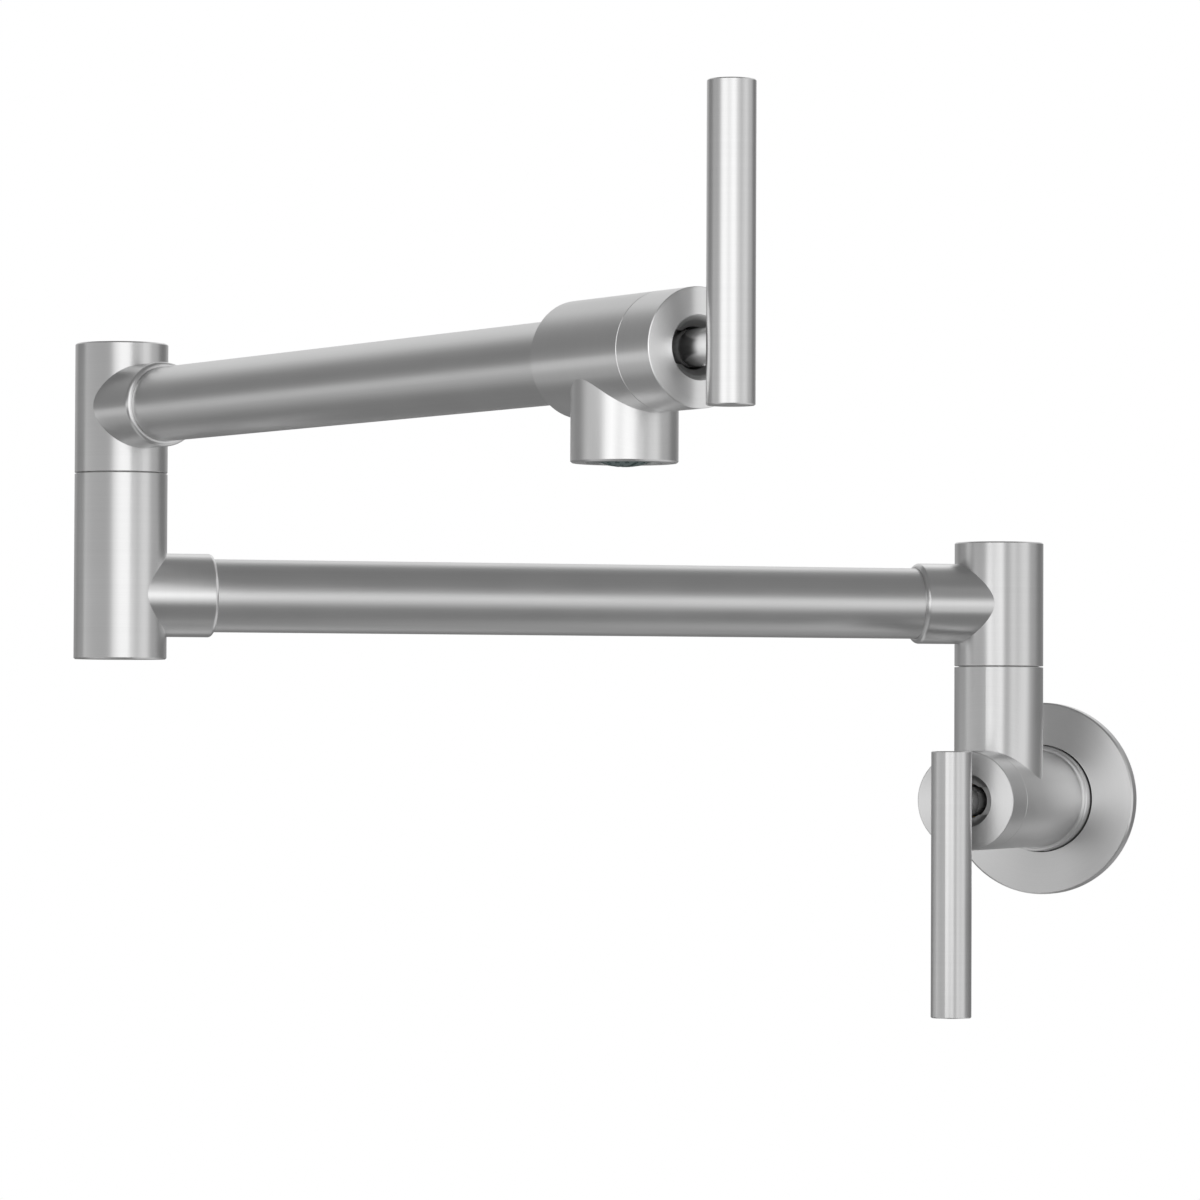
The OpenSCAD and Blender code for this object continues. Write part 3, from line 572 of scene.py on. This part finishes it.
# Studio
SURROUND = 0.22
DIFFUSE_LIGHT = 0.75
PANELS = [
    # azimuth, elevation, half width, half height, soft edge, all in degrees, and strength
    (-16, -8, 26, 15, 9, 0.63),
    (-50, 4, 20, 11, 8, 0.42),
    (14, 22, 27, 17, 11, 0.70),
    (118, 26, 34, 22, 14, 0.56),
    (70, 44, 42, 16, 14, 0.40),
    (-128, 0, 38, 6, 6, 0.64),
    (-178, -7, 17, 5, 5, 0.55),
    (-170, -19, 24, 7, 8, 0.30),
    (40, -46, 37, 26, 12, 0.50),
    (142, -62, 44, 16, 12, 0.35),
    (-125, -52, 50, 20, 14, 0.25),
]


def window(tree, way, azimuth, elevation, half_width, half_height, edge):
    """Mask of a soft-edged panel in the directions round the object.

    The azimuth counts from +X towards +Y. Both masks are smooth steps, one on the cosine of the angle
    from the panel's azimuth and one on the height of the direction above or below the panel's middle.
    The sides are twice as soft as the top and bottom.
    """
    a, e, w, h, s = (math.radians(v) for v in (azimuth, elevation, half_width, half_height, edge))
    level = vector(tree, "NORMALIZE", vector(tree, "MULTIPLY", way, (1, 1, 0)))
    turn = vector(tree, "DOT_PRODUCT", level, (math.cos(a), math.sin(a), 0))
    across = spread(tree, turn, math.cos(w + s), math.cos(max(w - s, 0)), smooth=True)
    rise = number(tree, "ARCSINE", vector(tree, "DOT_PRODUCT", way, (0, 0, 1)))
    away = number(tree, "ABSOLUTE", number(tree, "SUBTRACT", rise, e))
    upright = spread(tree, away, h - s / 2, h + s / 2, 1.0, 0.0, smooth=True)
    return number(tree, "MULTIPLY", across, upright)


def make_world():
    """Plain white surround for the camera, and a dim one with soft panels for what metal reflects."""
    world = bpy.data.worlds.new("studio")
    bpy.context.scene.world = world
    world.use_nodes = True
    tree = world.node_tree
    background = tree.nodes["Background"]
    way = vector(tree, "NORMALIZE", add_node(tree, "ShaderNodeTexCoord").outputs["Generated"])
    reflected = SURROUND
    for *shape, strength in PANELS:
        reflected = number(tree, "MULTIPLY_ADD", window(tree, way, *shape), strength, reflected)
    path = add_node(tree, "ShaderNodeLightPath").outputs
    seen = number(tree, "MAXIMUM", path["Is Camera Ray"], path["Is Transmission Ray"])
    light = mix_value(tree, path["Is Glossy Ray"], DIFFUSE_LIGHT, reflected)
    feed(tree, mix_value(tree, seen, light, 1.0), background.inputs["Strength"])
    background.inputs["Color"].default_value = (1, 1, 1, 1)


def soft_box(name, place, target, width, height, power, edge):
    """Rectangular lamp that faces the object, brightest in its middle.

    Its light falls to nothing over the outer share called edge on each side.
    """
    data = bpy.data.lights.new(name, "AREA")
    data.shape = "RECTANGLE"
    data.size, data.size_y, data.energy = width, height, power
    data.use_nodes = True
    tree = data.node_tree
    spot = add_node(tree, "ShaderNodeNewGeometry").outputs["Parametric"]
    off = vector(tree, "ABSOLUTE", vector(tree, "SUBTRACT", spot, (0.5, 0.5, 0)))
    apart = add_node(tree, "ShaderNodeSeparateXYZ")
    feed(tree, off, apart.inputs["Vector"])
    wide = spread(tree, apart.outputs["X"], 0.5 - edge, 0.5, 1.0, 0.0, smooth=True)
    high = spread(tree, apart.outputs["Y"], 0.5 - edge, 0.5, 1.0, 0.0, smooth=True)
    feed(tree, number(tree, "MULTIPLY", wide, high), tree.nodes["Emission"].inputs["Strength"])
    lamp = bpy.data.objects.new(name, data)
    lamp.location = place
    lamp.rotation_euler = (Vector(target) - Vector(place)).to_track_quat("-Z", "Y").to_euler()
    lamp.visible_camera = False
    bpy.context.scene.collection.objects.link(lamp)


# The floor's middle, its radius and its corners, and the least share of plain white that is mixed in
FLOOR_MIDDLE = (-0.1, -0.2, -0.36)
FLOOR_REACH = 2.2
FLOOR_CORNERS = 128
FLOOR_WHITE = 0.35


def make_floor():
    """Wide round floor below the object, pale in the middle and white at its rim.

    Its corners lie on a circle. The camera sees it mixed with plain white by a smooth step on the
    distance from the middle, from a quarter of its radius out to its rim.
    """
    mesh = bpy.data.meshes.new("floor")
    turn = np.linspace(0, 2 * np.pi, FLOOR_CORNERS, endpoint=False)
    circle = np.stack([FLOOR_REACH * np.cos(turn), FLOOR_REACH * np.sin(turn), 0 * turn], 1)
    mesh.from_pydata((circle + FLOOR_MIDDLE).tolist(), [], [tuple(range(FLOOR_CORNERS))])
    floor = bpy.data.objects.new("floor", mesh)
    bpy.context.scene.collection.objects.link(floor)
    material, tree, shader, position = start_material("floor paint")
    shader.inputs["Base Color"].default_value = (0.9, 0.9, 0.9, 1)
    shader.inputs["Roughness"].default_value = 0.9
    shader.inputs["Specular IOR Level"].default_value = 0.1
    white = add_node(tree, "ShaderNodeEmission", in_Strength=1.0)
    from_middle = vector(tree, "DISTANCE", position, FLOOR_MIDDLE)
    fade = spread(tree, from_middle, 0.25 * FLOOR_REACH, FLOOR_REACH, FLOOR_WHITE, 1.0, smooth=True)
    path = add_node(tree, "ShaderNodeLightPath").outputs
    blend = add_node(tree, "ShaderNodeMixShader")
    feed(tree, number(tree, "MULTIPLY", fade, path["Is Camera Ray"]), blend.inputs["Fac"])
    tree.links.new(shader.outputs[0], blend.inputs[1])
    tree.links.new(white.outputs[0], blend.inputs[2])
    tree.links.new(blend.outputs[0], tree.nodes["Material Output"].inputs["Surface"])
    mesh.materials.append(material)
    floor.visible_glossy = False


make_camera()
make_world()
make_floor()
soft_box("key panel", (0.12, -0.81, 0.17), (0.12, 0, 0.17), width=0.80, height=0.85, power=1.95, edge=0.22)

bpy.context.scene.view_settings.view_transform = "Standard"
bpy.context.view_layer.update()
